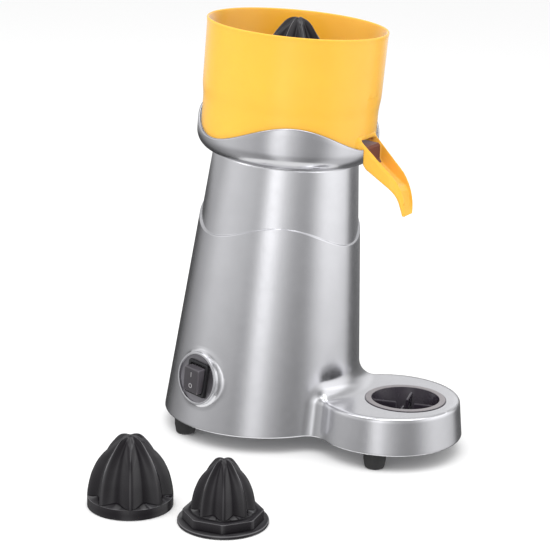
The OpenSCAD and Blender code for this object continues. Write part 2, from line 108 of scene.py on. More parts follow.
def on_wall(turn, s):
    origin, down, side, out = wall_frame(turn, s)

    def place(p):
        p = np.asarray(p, float)
        return origin + p[..., :1] * down + p[..., 1:2] * side + p[..., 2:3] * out

    return place


def at(x, y, z=0.0, turn=0.0):
    c, s = math.cos(math.radians(turn)), math.sin(math.radians(turn))

    def place(p):
        p = np.asarray(p, float)
        q = np.empty_like(p)
        q[..., 0] = x + c * p[..., 0] - s * p[..., 1]
        q[..., 1] = y + s * p[..., 0] + c * p[..., 1]
        q[..., 2] = z + p[..., 2]
        return q

    return place


# ---- mesh building ----
def link_mesh(name, verts, faces):
    """A new object from points in metres"""
    mesh = bpy.data.meshes.new(name)
    mesh.from_pydata(np.asarray(verts).tolist(), [], [list(map(int, f)) for f in faces])
    obj = bpy.data.objects.new(name, mesh)
    bpy.context.scene.collection.objects.link(obj)
    return obj


def add_object(name, verts, faces, material, body=None, slot=None, replaces=(), angle=32):
    """A piece from points in millimetres, shaded smooth up to the given angle"""
    obj = link_mesh(name, np.asarray(verts) / 1000, faces)
    mesh = obj.data
    bm = bmesh.new()
    bm.from_mesh(mesh)
    bmesh.ops.remove_doubles(bm, verts=bm.verts, dist=2e-6)
    bmesh.ops.dissolve_degenerate(bm, edges=bm.edges, dist=1e-7)
    bmesh.ops.recalc_face_normals(bm, faces=bm.faces)
    bm.to_mesh(mesh)
    bm.free()
    finish_mesh(obj, material, angle)
    if body:
        dress(obj, body, slot, replaces)
    return obj


def finish_mesh(obj, material, angle=32):
    obj.data.shade_smooth()
    obj.data.set_sharp_from_angle(angle=math.radians(angle))
    obj.data.materials.clear()
    obj.data.materials.append(material)


def dress(obj, body, slot, replaces=()):
    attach(obj, body)
    if replaces:
        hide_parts(*replaces)


def skin(rings, loop=False):
    """Quads between rings of points; loop joins the last ring to the first"""
    rings = np.asarray(rings, float)
    m, n = rings.shape[:2]
    index = np.arange(m * n).reshape(m, n)
    a, b = (index, np.roll(index, -1, 0)) if loop else (index[:-1], index[1:])
    quads = np.stack([a, np.roll(a, -1, 1), np.roll(b, -1, 1), b], -1).reshape(-1, 4)
    return rings.reshape(-1, 3), quads


def rounded(points, steps=5):
    """Polygon corners (x, y, radius) turned into arcs"""
    out = []
    n = len(points)
    for i in range(n):
        p, q, r = (np.array(points[j % n][:2], float) for j in (i - 1, i, i + 1))
        radius = points[i][2] if len(points[i]) > 2 else 0
        u, v = (p - q), (r - q)
        lu, lv = np.linalg.norm(u), np.linalg.norm(v)
        u, v = u / lu, v / lv
        half = math.acos(max(-1, min(1, float(u @ v)))) / 2
        if radius <= 0 or half > 1.55:
            out.append(q)
            continue
        cut = min(radius / math.tan(half), 0.49 * lu, 0.49 * lv)
        radius = cut * math.tan(half)
        centre = q + (u + v) / np.linalg.norm(u + v) * radius / math.sin(half)
        a, b = q + u * cut - centre, q + v * cut - centre
        a0, b0 = math.atan2(a[1], a[0]), math.atan2(b[1], b[0])
        turn = (b0 - a0 + math.pi) % (2 * math.pi) - math.pi
        for k in range(steps + 1):
            w = a0 + turn * k / steps
            out.append(centre + radius * np.array([math.cos(w), math.sin(w)]))
    return np.array(out)


def full_turn(n):
    return np.arange(n) * 2 * math.pi / n


def ring_points(r, z, t):
    """Points at angles t; the radius and the height may each vary with the angle"""
    return np.stack([r * np.cos(t), r * np.sin(t), z + 0 * t], -1)


def lathe_rings(profile, n):
    profile = np.asarray(profile, float)
    t = full_turn(n)
    return np.stack([np.outer(profile[:, 0], np.cos(t)), np.outer(profile[:, 0], np.sin(t)),
                     np.repeat(profile[:, 1:2], n, 1)], -1)


def lathe(name, profile, place, material, n=96, loop=True, **rest):
    verts, faces = skin(lathe_rings(profile, n), loop)
    return add_object(name, place(verts), faces, material, **rest)


def prism(outline, z0, z1):
    """A flat outline drawn up from z0 to z1, with both ends closed"""
    outline = np.asarray(outline, float)
    n = len(outline)
    low = np.column_stack([outline, np.full(n, float(z0))])
    high = np.column_stack([outline, np.full(n, float(z1))])
    faces = [[i, (i + 1) % n, n + (i + 1) % n, n + i] for i in range(n)]
    return np.vstack([low, high]), faces + [list(range(n))[::-1], list(range(n, 2 * n))]


def box_prism(x0, x1, y0, y1, z0, z1):
    return prism([[x0, y0], [x1, y0], [x1, y1], [x0, y1]], z0, z1)


def cut_out(obj, parts):
    """Cuts each (verts, faces) out of obj"""
    for verts, faces in parts:
        tool = add_object("tool", verts, faces, obj.data.materials[0])
        modifier = obj.modifiers.new("cut", "BOOLEAN")
        modifier.operation, modifier.object, modifier.solver = "DIFFERENCE", tool, "MANIFOLD"
        mesh = bpy.data.meshes.new_from_object(obj.evaluated_get(bpy.context.evaluated_depsgraph_get()))
        obj.modifiers.clear()
        old = obj.data
        obj.data = mesh
        bpy.data.meshes.remove(old)
        mesh_of_tool = tool.data
        bpy.data.objects.remove(tool)
        bpy.data.meshes.remove(mesh_of_tool)


def round_and(a, b, r):
    """Overlap of two distance fields, with its edge rounded to radius r"""
    return np.minimum(-r, np.maximum(a, b)) + np.hypot(np.maximum(a + r, 0), np.maximum(b + r, 0))


def round_or(a, b, r):
    """Union of two distance fields, with its corner filled to radius r"""
    return -round_and(-a, -b, r)


def surface_net(field, grid, wrap, passes=4):
    """Quads over the zero level of field, on a bent grid of points whose first axis may close on itself"""
    if wrap:
        grid = np.concatenate([grid, grid[:1]])
    value = field(grid)
    inside = value < 0
    size = tuple(d - 1 for d in value.shape)
    total, count, quads = np.zeros(size + (3,)), np.zeros(size), []
    for axis in range(3):
        lo, hi = [slice(None)] * 3, [slice(None)] * 3
        lo[axis], hi[axis] = slice(None, -1), slice(1, None)
        lo, hi = tuple(lo), tuple(hi)
        crossed = inside[lo] != inside[hi]
        if wrap and axis != 0:
            crossed[-1] = False
        found = np.argwhere(crossed)
        share = (value[lo][crossed] / (value[lo][crossed] - value[hi][crossed]))[:, None]
        point = grid[lo][crossed] * (1 - share) + grid[hi][crossed] * share
        u, v = ((1, 2), (2, 0), (0, 1))[axis]
        corners, whole = [], np.ones(len(found), bool)
        for du, dv in ((-1, -1), (0, -1), (0, 0), (-1, 0)):
            cell = found.copy()
            cell[:, u] += du
            cell[:, v] += dv
            if wrap:
                cell[:, 0] %= size[0]
            good = ((cell >= 0) & (cell < size)).all(1)
            whole &= good
            where = tuple(cell[good].T)
            np.add.at(total, where, point[good])
            np.add.at(count, where, 1)
            corners.append(np.ravel_multi_index(tuple(np.clip(cell, 0, np.array(size) - 1).T), size))
        quad = np.stack(corners, 1)
        leaving = inside[lo][crossed]
        quad[~leaving] = quad[~leaving][:, ::-1]
        quads.append(quad[whole])
    quads = np.concatenate(quads)
    used, faces = np.unique(quads, return_inverse=True)
    faces = faces.reshape(quads.shape)
    verts = total.reshape(-1, 3)[used] / count.reshape(-1)[used][:, None]
    h, longest_step, least_slope = 0.05, 1.2, 0.2
    for _ in range(passes):
        slope = np.stack([(field(verts + h * e) - field(verts - h * e)) / (2 * h) for e in np.eye(3)], -1)
        step = field(verts)[:, None] * slope / np.maximum((slope ** 2).sum(-1, keepdims=True), least_slope)
        length = np.linalg.norm(step, axis=1, keepdims=True)
        verts = verts - step * np.minimum(1, longest_step / np.maximum(length, 1e-9))
    return verts, faces


def smooth(t):
    t = np.clip(t, 0, 1)
    return t * t * (3 - 2 * t)


# ---- materials ----
def map_range(mat, source, low, high, start=0.0, end=1.0, kind="LINEAR"):
    """Takes source from the span low to high over to the span start to end"""
    node = mat.node_tree.nodes.new("ShaderNodeMapRange")
    node.interpolation_type = kind
    for name, value in (("From Min", low), ("From Max", high), ("To Min", start), ("To Max", end)):
        node.inputs[name].default_value = value
    mat.node_tree.links.new(source, node.inputs["Value"])
    return node.outputs["Result"]


def calc(mat, op, a, b):
    node = mat.node_tree.nodes.new("ShaderNodeMath")
    node.operation = op
    for socket, value in zip(node.inputs, (a, b)):
        if isinstance(value, (int, float)):
            socket.default_value = value
        else:
            mat.node_tree.links.new(value, socket)
    return node.outputs[0]


def surface(name, base, rough, metallic=0.0, grain=900.0, bump=0.1, mottle=0.06, rough_spread=0.05, coat=0.0,
            streak=None, edge=0.0, ior=1.5, sub=0.0, shine=0.5, crest_highlight=None):
    """Shader with colour mottling, a fine bump and uneven gloss. streak stretches the bump into brushing,
    edge lightens the edges as a painted highlight, and the last argument is the colour of a painted highlight
    on crests that face upwards"""
    mat = bpy.data.materials.new(name)
    mat.use_nodes = True
    nodes, links = mat.node_tree.nodes, mat.node_tree.links
    shader = nodes["Principled BSDF"]
    shader.inputs["Metallic"].default_value = metallic
    shader.inputs["IOR"].default_value = ior
    shader.inputs["Specular IOR Level"].default_value = shine
    shader.inputs["Coat Weight"].default_value = coat
    shader.inputs["Coat Roughness"].default_value = 0.08
    coords = nodes.new("ShaderNodeTexCoord")

    def noise(scale, detail=3.0, stretch=(1, 1, 1)):
        mapping = nodes.new("ShaderNodeMapping")
        mapping.inputs["Scale"].default_value = stretch
        links.new(coords.outputs["Object"], mapping.inputs["Vector"])
        tex = nodes.new("ShaderNodeTexNoise")
        tex.inputs["Scale"].default_value = scale
        tex.inputs["Detail"].default_value = detail
        links.new(mapping.outputs["Vector"], tex.inputs["Vector"])
        return tex.outputs["Fac"]

    ramp = nodes.new("ShaderNodeValToRGB")
    ramp.color_ramp.elements[0].position, ramp.color_ramp.elements[1].position = 0.3, 0.7
    ramp.color_ramp.elements[0].color = [c * (1 - mottle) for c in base] + [1]
    ramp.color_ramp.elements[1].color = [min(1, c * (1 + mottle)) for c in base] + [1]
    links.new(noise(45, 4), ramp.inputs["Fac"])
    colour = ramp.outputs["Color"]
    gloss = map_range(mat, noise(130, 4), 0.3, 0.7, rough - rough_spread, rough + rough_spread)
    fine = noise(grain * 0.4, 3, streak) if streak else noise(grain, 2)
    if edge or crest_highlight:
        pointiness = nodes.new("ShaderNodeNewGeometry").outputs["Pointiness"]
        mix = nodes.new("ShaderNodeMix")
        mix.data_type = "RGBA"
        if crest_highlight:
            normal = nodes.new("ShaderNodeSeparateXYZ")
            links.new(coords.outputs["Normal"], normal.inputs["Vector"])
            # Crests that face upwards are painted a lighter colour: a painted highlight
            upward = map_range(mat, normal.outputs["Z"], 0.22, 0.5)
            highlight_mask = calc(mat, "MULTIPLY", upward, map_range(mat, pointiness, 0.53, 0.6))
            mix.inputs["B"].default_value = crest_highlight + (1,)
            # The hollows are duller than the crests
            polish = map_range(mat, pointiness, 0.46, 0.52, 0.04, shine)
            links.new(polish, shader.inputs["Specular IOR Level"])
        else:
            # Edges are painted lighter: a painted highlight
            highlight_mask = map_range(mat, pointiness, 0.52, 0.6)
            mix.inputs["B"].default_value = [min(1, c * (1 + edge)) for c in base] + [1]
        links.new(highlight_mask, mix.inputs["Factor"])
        links.new(colour, mix.inputs["A"])
        colour = mix.outputs["Result"]
    links.new(colour, shader.inputs["Base Color"])
    links.new(gloss, shader.inputs["Roughness"])
    if sub:
        shader.inputs["Subsurface Weight"].default_value = sub
        shader.inputs["Subsurface Radius"].default_value = (1.0, 0.5, 0.2)
        shader.inputs["Subsurface Scale"].default_value = 0.004
    relief = nodes.new("ShaderNodeBump")
    relief.inputs["Strength"].default_value = bump
    relief.inputs["Distance"].default_value = 0.0004
    links.new(fine, relief.inputs["Height"])
    links.new(relief.outputs["Normal"], shader.inputs["Normal"])
    return mat


# edge paints a lighter highlight along the edges of the pieces that use it
MATERIALS = {
    "cast_aluminium": dict(base=(0.80, 0.80, 0.82), rough=0.2, metallic=1.0, grain=1400, bump=0.05,
                           mottle=0.02, rough_spread=0.03, streak=(1, 1, 0.12), edge=0.15),
    "satin_aluminium": dict(base=(0.70, 0.70, 0.72), rough=0.2, metallic=1.0, grain=1400, bump=0.04,
                            mottle=0.02, rough_spread=0.03, streak=(1, 1, 0.12), edge=0.2),
    "plate_steel": dict(base=(0.25, 0.25, 0.26), rough=0.45, metallic=1.0, bump=0.15),
    "screw_steel": dict(base=(0.62, 0.62, 0.6), rough=0.28, metallic=1.0, bump=0.1, edge=0.2),
    "foot_rubber": dict(base=(0.018, 0.018, 0.018), rough=0.55, bump=0.3, grain=1600, mottle=0.15),
    "seal_rubber": dict(base=(0.02, 0.02, 0.02), rough=0.6, bump=0.25, grain=1600, mottle=0.15),
    "stator_steel": dict(base=(0.35, 0.36, 0.38), rough=0.5, metallic=1.0, bump=0.5,
                         streak=(0.02, 0.02, 3)),
    "copper_winding": dict(base=(0.55, 0.2, 0.07), rough=0.3, metallic=1.0, bump=0.6,
                           streak=(0.2, 0.2, 2)),
    "bell_aluminium": dict(base=(0.6, 0.6, 0.62), rough=0.4, metallic=1.0, bump=0.3),
    "bearing_steel": dict(base=(0.65, 0.65, 0.67), rough=0.18, metallic=1.0, bump=0.04),
    "stainless_steel": dict(base=(0.66, 0.66, 0.67), rough=0.24, metallic=1.0, bump=0.1,
                            streak=(0.1, 0.1, 2)),
    "fan_plastic": dict(base=(0.04, 0.04, 0.045), rough=0.5, bump=0.15),
    "capacitor_plastic": dict(base=(0.7, 0.7, 0.66), rough=0.3, bump=0.05),
    "terminal_plastic": dict(base=(0.75, 0.74, 0.66), rough=0.45, bump=0.1),
    "switch_plastic": dict(base=(0.014, 0.014, 0.016), rough=0.3, bump=0.1, grain=1800),
    # The rocker's edges carry a strong painted highlight
    "rocker_plastic": dict(base=(0.05, 0.046, 0.052), rough=0.22, bump=0.08, grain=1800, edge=4.0),
    "mark_paint": dict(base=(0.32, 0.31, 0.32), rough=0.5, bump=0.05),
    "black_plastic": dict(base=(0.034, 0.027, 0.038), rough=0.24, bump=0.08, grain=1500, mottle=0.12),
    # A lighter grey copy of the black plastic for the cup's rim: a painted sheen
    "painted_sheen_rim": dict(base=(0.27, 0.25, 0.26), rough=0.32, bump=0.1, grain=1500, mottle=0.05),
    "yellow_plastic": dict(base=(1.0, 0.52, 0.05), rough=0.22, bump=0.03, grain=700, mottle=0.02,
                           coat=0.15, sub=0.12),
    # Dark brown plate in the spout's outlet: painted shade for its deep shadow
    "painted_shade_throat": dict(base=(0.15, 0.032, 0.008), rough=0.35, bump=0.05, grain=700, mottle=0.1),
    # A darker copy of the cast metal for the switch recess: painted shade
    "painted_shade_recess": dict(base=(0.33, 0.32, 0.34), rough=0.34, metallic=1.0, grain=1400, bump=0.05,
                         mottle=0.03),
    # The reamers' upward crests carry a painted highlight in pale grey
    "reamer_plastic": dict(base=(0.0055, 0.0042, 0.0062), rough=0.11, bump=0.02, grain=900, mottle=0.12,
                           rough_spread=0.03, shine=0.75, crest_highlight=(0.36, 0.35, 0.37)),
}
MAT = {name: surface(name, **look) for name, look in MATERIALS.items()}

# ---- die-cast housing with the glass stand ----
SWITCH_TURN, SWITCH_S = -106, 49.5
STAND_H, STAND_R, STAND_TOP_R = 36.6, 72.5, 69.0
WAIST_BLEND, BOSS_BLEND = 18, 5
INLET_S = 22


def column_field(p):
    """The leaning column, with a small step in along a line of three waves"""
    x, y, s = to_axis(p)
    step = 200.2 - 10 * np.cos(3 * np.arctan2(y, x))
    r = column_at(s) - 1.8 * smooth((s - step) / 1.1 + 0.5)
    return round_and((np.hypot(x, y) - r) * math.sin(WALL_TILT), s - 266, 0.8)


def stand_field(p):
    z = p[..., 2] - FLOOR_Z
    side = np.hypot(p[..., 0] - STAND_X, p[..., 1]) - STAND_R + (STAND_R - STAND_TOP_R) * z / STAND_H
    return round_and(side, z - STAND_H, 3.5)


def boss_field(p):
    origin, down, side, out = wall_frame(SWITCH_TURN, SWITCH_S)
    d = p - origin
    return round_and(np.hypot(d @ down, d @ side) - 26.2, np.abs(d @ out + 6) - 9.2, 2)


def casting_field(p):
    body = round_or(column_field(p), stand_field(p), WAIST_BLEND)
    body = round_or(body, boss_field(p), BOSS_BLEND)
    return round_and(body, FLOOR_Z - p[..., 2], 2.2)


def casting_grid():
    """Points around, up and out from the leaning axis, closest together where the skin has detail"""
    theta = np.radians(np.concatenate([np.arange(-46, 46, 1.0), np.arange(46, 314, 2.0)]))
    s = np.concatenate([[-3], np.arange(-1.2, 3, 0.8), np.arange(3, 28, 2.5), np.arange(28, 41, 1.1),
                        np.arange(41, 84, 2.2), np.arange(84, 194, 4.4), np.arange(194, 198.8, 1.6),
                        np.arange(198.8, 201.7, 0.4), np.arange(202, 207, 1.6), np.arange(208, 262, 4.4),
                        [263, 264.6, 265.6, 266.6, 268]])
    rho = np.concatenate([np.arange(60, 108, 2.6), np.arange(108, 219, 3.0)])
    tilt = math.atan2(AXIS[0], AXIS[2]) * smooth((s - 60) / 90)
    wave = -10 * np.cos(3 * theta)[:, None] * (smooth((s - 105) / 60) * smooth((264 - s) / 45))[None, :]
    height = s[None, :] + wave
    across = np.stack([np.cos(tilt), 0 * tilt, -np.sin(tilt)], -1)
    out = np.cos(theta)[:, None, None] * across[None] + np.sin(theta)[:, None, None] * SIDE
    centre = FOOT + height[..., None] * AXIS
    return centre[:, :, None, :] + rho[None, None, :, None] * out[:, :, None, :]


def stand_room():
    """Plan of the room inside the stand and the waist"""
    gap, neck, waist = 4.5, 70.5, 20.0
    c_r, s_r = COLUMN_R + waist, neck + waist
    wx = (STAND_X ** 2 + c_r ** 2 - s_r ** 2) / (2 * STAND_X)
    wy = math.sqrt(c_r ** 2 - wx ** 2)
    to_column, to_stand = math.atan2(-wy, -wx), math.atan2(-wy, STAND_X - wx)
    if to_stand < to_column:
        to_stand += 2 * math.pi
    side = [(wx + (waist + gap) * math.cos(a), wy + (waist + gap) * math.sin(a))
            for a in np.linspace(to_column, to_stand, 12)]
    start = math.atan2(side[-1][1], side[-1][0] - STAND_X)
    ring = [(STAND_X + (STAND_R - 5) * math.cos(a), (STAND_R - 5) * math.sin(a))
            for a in np.linspace(start, -start, 60)]
    return side + ring + [(x, -y) for x, y in side[::-1]]


def build_casting():
    verts, faces = surface_net(casting_field, casting_grid(), True)
    obj = add_object("casting_shell", verts, faces, MAT["cast_aluminium"])
    # The net is open underneath, and a cut needs a closed mesh
    bm = bmesh.new()
    bm.from_mesh(obj.data)
    bmesh.ops.holes_fill(bm, edges=[e for e in bm.edges if e.is_boundary], sides=0)
    bmesh.ops.recalc_face_normals(bm, faces=bm.faces)
    bm.to_mesh(obj.data)
    bm.free()
    wall = on_wall(SWITCH_TURN, SWITCH_S)
    back = on_wall(180, INLET_S)
    cuts = []

    def turned(profile, place, n=96):
        verts, faces = skin(lathe_rings(profile, n))
        cuts.append((place(verts), faces))

    wall_t, top = 5.2, FLOOR_Z + STAND_H
    turned([(0, -20), (column_at(-20) - wall_t, -20), (column_at(260) - wall_t, 260), (0, 260)], on_axis)
    cuts.append(prism(stand_room(), FLOOR_Z - 10, top - 4))
    turned([(0, top - 20), (36.4, top - 20), (36.4, top - 2), (40.2, top - 2), (40.2, top + 10),
            (0, top + 10)], at(CUP_X, 0), 128)
    turned([(0, 1.5), (23.9, 1.5), (23.9, 20), (0, 20)], wall, 128)
    verts, faces = box_prism(-15.6, 15.6, -12.1, 12.1, -20, 6)
    cuts.append((wall(verts), faces))
    turned([(0, -15), (8, -15), (8, -1), (11, -1), (11, 9), (0, 9)], back, 48)
    turned([(0, 240), (15, 240), (15, 280), (0, 280)], on_axis, 48)
    cut_out(obj, cuts)
    finish_mesh(obj, MAT["cast_aluminium"], 28)
    dress(obj, "machine", "cast_aluminium", ("housing", "stand"))


build_casting()


# ---- collar with its lobed edge, which carries a painted highlight ----
def build_collar():
    t = full_turn(288)
    edge = 298 - 11.7 * np.cos(3 * t)
    bottom, bend, wall, r = 267.0, 18.0, 2.8, 88.8
    bend_s, centre_r = bottom + bend, r - bend
    rows = []

    def ring(radius, s):
        rows.append(ring_points(radius, s, t))

    def bend_ring(radius, degrees):
        a = math.radians(degrees)
        ring(centre_r + radius * math.cos(a), bend_s + radius * math.sin(a))

    ring(13, bottom)
    ring(40, bottom)
    ring(centre_r - 6, bottom)
    for degrees in np.linspace(-90, 0, 15):
        bend_ring(bend, degrees)
    for k in (0.25, 0.5, 0.75):
        ring(r, bend_s + k * (edge - 1.5 - bend_s))
    for degrees in np.linspace(0, 180, 9):
        c, q = math.cos(math.radians(degrees)), math.sin(math.radians(degrees))
        ring(r - wall / 2 + wall / 2 * c, edge - wall / 2 + wall / 2 * q)
    for k in (0.7, 0.35):
        ring(r - wall, bend_s + k * (edge - 1.5 - bend_s))
    for degrees in np.linspace(0, -90, 11):
        bend_ring(bend - wall, degrees)
    # Floor of the seat, and the neck round the drive shaft
    floor_s = bottom + wall
    for radius, s in ((40, floor_s), (18, floor_s), (17, floor_s + 1), (17, 295), (16.4, 296), (13, 296)):
        ring(radius, s)
    verts, faces = skin(rows, True)
    add_object("collar_shell", on_axis(verts), faces, MAT["satin_aluminium"], body="machine",
               slot="satin_aluminium", replaces=("collar",))


build_collar()

# ---- bowl and spout ----
BOWL_FLOOR, BOWL_BEND, LOWER_R, BOWL_WALL, RIM_S = 286.5, 15.5, 85.5, 2.5, 394.4


def turned_arc(x, z, r, start, end, n):
    return [(x + r * math.cos(a), z + r * math.sin(a)) for a in np.radians(np.linspace(start, end, n))]


# Side views of the spout, its channel and the dark plate of painted shade in its outlet, and half widths
# along its length
SPOUT_SIDE = [(151, 220.5)] + turned_arc(105.5, 226, 48.5, -7, 50, 12) + [
    (107.5, 291.5), (78, 293.5), (78, 282.4), (104.6, 281.6), (111.5, 281.0), (111.4, 267), (114.5, 262.6)
] + turned_arc(120.9, 223.7, 28, 54.8, 15.5, 7)
SPOUT_CHANNEL = [(153.6, 219.3), (147, 242.9), (144, 246.3), (139.4, 248), (116.4, 264.4), (113.7, 268.4),
                 (113.8, 280.9), (112, 282.7), (104.7, 283.3), (70, 286.4), (70, 290.4), (108.35, 289.2),
                 (111.9, 330), (190, 300), (190, 200), (160, 200)]
PAINTED_SHADE_THROAT = [(86, 285.9), (104.7, 284.1), (112.3, 283.4), (114.3, 281.2), (114.2, 268.6), (116.4, 265.4),
          (116, 264.9), (113.5, 268.2), (113.6, 280.8), (111.9, 282.5), (104.7, 283.0), (86, 285.0)]
SPOUT_PLAN = [(112, 18.5), (140, 14.9), (156, 10)]


def polygon_distance(points, x, y):
    """Distance from a polygon, negative inside"""
    points = np.asarray(points, float)
    best = np.full(x.shape, 1e9)
    inside = np.zeros(x.shape, bool)
    for a, b in zip(points, np.roll(points, -1, 0)):
        d = b - a
        t = np.clip(((x - a[0]) * d[0] + (y - a[1]) * d[1]) / (d @ d), 0, 1)
        best = np.minimum(best, (x - a[0] - t * d[0]) ** 2 + (y - a[1] - t * d[1]) ** 2)
        if a[1] != b[1]:
            inside ^= ((a[1] > y) != (b[1] > y)) & (x < (b[0] - a[0]) * (y - a[1]) / (b[1] - a[1]) + a[0])
    return np.where(inside, -1, 1) * np.sqrt(best)


def half_width(x, inset):
    xs, ws = zip(*SPOUT_PLAN)
    return np.interp(x, xs, ws) - inset


def spout_slab(outline, half):
    """A side view of the spout, as wide as half to each side"""
    verts, faces = prism(outline, -half, half)
    return np.column_stack([verts[:, 0], -verts[:, 2], verts[:, 1] + FLOOR_Z]), faces


def spout_field(p):
    x, y, z = p[..., 0], np.abs(p[..., 1]), p[..., 2] - FLOOR_Z
    outer = round_and(polygon_distance(SPOUT_SIDE, x, z), y - half_width(x, 0), 3.0)
    channel = round_and(polygon_distance(SPOUT_CHANNEL, x, z), y - half_width(x, 2.2), 2.0)
    ax, ay, s = to_axis(p)
    r = np.hypot(ax, ay)
    wall_inside, floor_top = LOWER_R - BOWL_WALL + 0.15, BOWL_FLOOR + BOWL_WALL - 0.15
    cavity = round_and(r - wall_inside, floor_top - s, BOWL_BEND - BOWL_WALL)
    # A patch of the bowl's wall, which gives the root of the spout a fillet
    patch = np.maximum(np.maximum(r - LOWER_R + 0.25, 290 - s), np.maximum(s - 300, y - 25))
    body = round_or(outer, patch, 5)
    return np.maximum(round_and(body, -channel, 0.7), -cavity)


def build_bowl():
    corner = LOWER_R - BOWL_BEND, BOWL_FLOOR + BOWL_BEND
    meet = math.degrees(math.acos(1 - BOWL_WALL / BOWL_BEND))
    arc = turned_arc(*corner, BOWL_BEND, -90, -meet, 9)
    inner = turned_arc(*corner, BOWL_BEND - BOWL_WALL, 0, -90, 11)
    outside, inside = LOWER_R, LOWER_R - BOWL_WALL
    # The floor outside, the skirt, the soft step out, the rim, and back down inside to the strainer's ledge
    profile = [(19.5, BOWL_FLOOR)] + arc + [(inside, 284.0), (inside + 0.5, 283.5), (outside - 0.5, 283.5),
                                            (outside, 284.0), (outside, 300), (outside, 316.0)]
    profile += [(outside + 1.5 * smooth(k / 9), 316 + 18 * k / 9) for k in range(1, 10)]
    profile += [(87.05, 342), (87.15, 360), (87.3, RIM_S - 6), (87.5, RIM_S - 3.5), (87.9, RIM_S - 1.6)]
    profile += turned_arc(86.7, RIM_S - 1.25, 1.25, 0, 180, 7)
    profile += [(85.2, RIM_S - 4), (84.8, RIM_S - 8), (84.6, 360), (84.5, 337)]
    profile += [(84.5 - 1.5 * smooth(k / 9), 337 - 18 * k / 9) for k in range(1, 10)]
    profile += [(83, 312.5), (83, 311), (80.5, 311), (80.5, 309), (83, 307)] + inner
    profile += [(19.5, BOWL_FLOOR + BOWL_WALL)]
    obj = lathe("bowl_shell", profile, on_axis, MAT["yellow_plastic"], n=240)
    cut_out(obj, [spout_slab(rounded([(x, z, 1.2) for x, z in SPOUT_CHANNEL], 2), 16.3)])
    finish_mesh(obj, MAT["yellow_plastic"])
    dress(obj, "bowl", "yellow_plastic", ("bowl",))
    # A dark brown plate over the outlet's face and floor: painted shade where the overhanging bowl shades the
    # spout's root
    verts, faces = spout_slab(PAINTED_SHADE_THROAT, 16.1)
    add_object("bowl_spout_painted_shade", verts, faces, MAT["painted_shade_throat"], body="bowl", slot="yellow_plastic")
    cell = 0.95
    xs, ys = np.arange(74, 156.5, cell), np.arange(-28, 28.5, cell)
    zs = np.arange(FLOOR_Z + 216, FLOOR_Z + 304, cell)
    grid = np.stack(np.meshgrid(xs, ys, zs, indexing="ij"), -1)
    verts, faces = surface_net(spout_field, grid, False)
    add_object("bowl_spout", verts, faces, MAT["yellow_plastic"], body="bowl", slot="yellow_plastic",
               angle=50)


build_bowl()


# ---- reamers ----
# Along a rib: share of the radius, share of the height over the shelf, depth of the hollow beside it
LONG_RIB = [(1.0, 0, 0.13), (0.995, 0.06, 0.15), (0.975, 0.18, 0.17), (0.93, 0.35, 0.19),
            (0.83, 0.55, 0.22), (0.69, 0.70, 0.25), (0.55, 0.81, 0.28), (0.42, 0.905, 0.31),
            (0.31, 0.96, 0.33), (0.19, 0.99, 0.33), (0.09, 1.0, 0.2), (0, 0.995, 0)]
SHORT_RIB = [(1.0, 0, 0.13), (0.995, 0.06, 0.12), (0.97, 0.18, 0.11), (0.905, 0.37, 0.1),
             (0.78, 0.56, 0.1), (0.65, 0.68, 0.09), (0.50, 0.78, 0.08), (0.36, 0.865, 0.07),
             (0.23, 0.93, 0.05), (0.13, 0.975, 0.03), (0.06, 0.99, 0.01), (0, 0.995, 0)]


def ribbed(radius, height, flute_z, n):
    """Rings of a cone with four long ribs that meet at the tip, four shorter ones and hollows between"""
    t = full_turn(n)
    pitch = math.pi / 4
    phase = (t / pitch) % 1
    off = np.minimum(phase, 1 - phase) * 2
    short = np.round(t / pitch).astype(int) % 2 == 1
    # u runs from 0 on a crest to 1 in the hollow, and starts gently so that the crest is blunt
    softness = np.where(short, 0.12, 0.004)
    blunt = np.sqrt(softness)
    u = np.clip((np.sqrt(off ** 2 + softness) - blunt) / (np.sqrt(1 + softness) - blunt), 0, 1)
    chord = math.cos(pitch / 2) / np.cos((1 - u) * pitch / 2)
    stations = np.linspace(0, len(LONG_RIB) - 1, 70)

    def course(points):
        k = np.arange(len(points))
        line = np.stack([np.interp(stations, k, c) for c in zip(*points)], -1)
        for _ in range(6):
            line[1:-1] = 0.25 * line[:-2] + 0.5 * line[1:-1] + 0.25 * line[2:]
        return line[:, None, :]

    share = 0.5 * smooth(u)
    share = np.where(short, share, 1 - share)[None, :, None]
    line = course(SHORT_RIB) * (1 - share) + course(LONG_RIB) * share
    r = line[..., 0] * (chord - line[..., 2] * (1 - (1 - u) ** 2))
    z = line[..., 1] + 0.05 * (1 - line[..., 1]) ** 8 * smooth(u)
    rise = height - flute_z
    rows = [ring_points(radius, h, t) for h in (0, 0.5, 1.2, flute_z * 0.5, flute_z - 0.4)]
    rows += [ring_points(radius * (1 - k * (1 - r[0])), flute_z + k * rise * z[0], t)
             for k in (0.0, 0.1, 0.35, 0.7)]
    return rows + [ring_points(radius * ring, flute_z + rise * h, t) for ring, h in zip(r, z)]


def underside(hollow, depth, n, base_r):
    """Rings of the shaft socket and of the hollow foot around it"""
    corners = [(0, depth), (7.1, depth), (7.1, 10), (hollow - 0.6, 10), (hollow, 9.4), (hollow, 0.5),
               (hollow + 0.5, 0), (base_r - 0.7, 0)]
    return [ring_points(r, z, full_turn(n)) for r, z in corners]


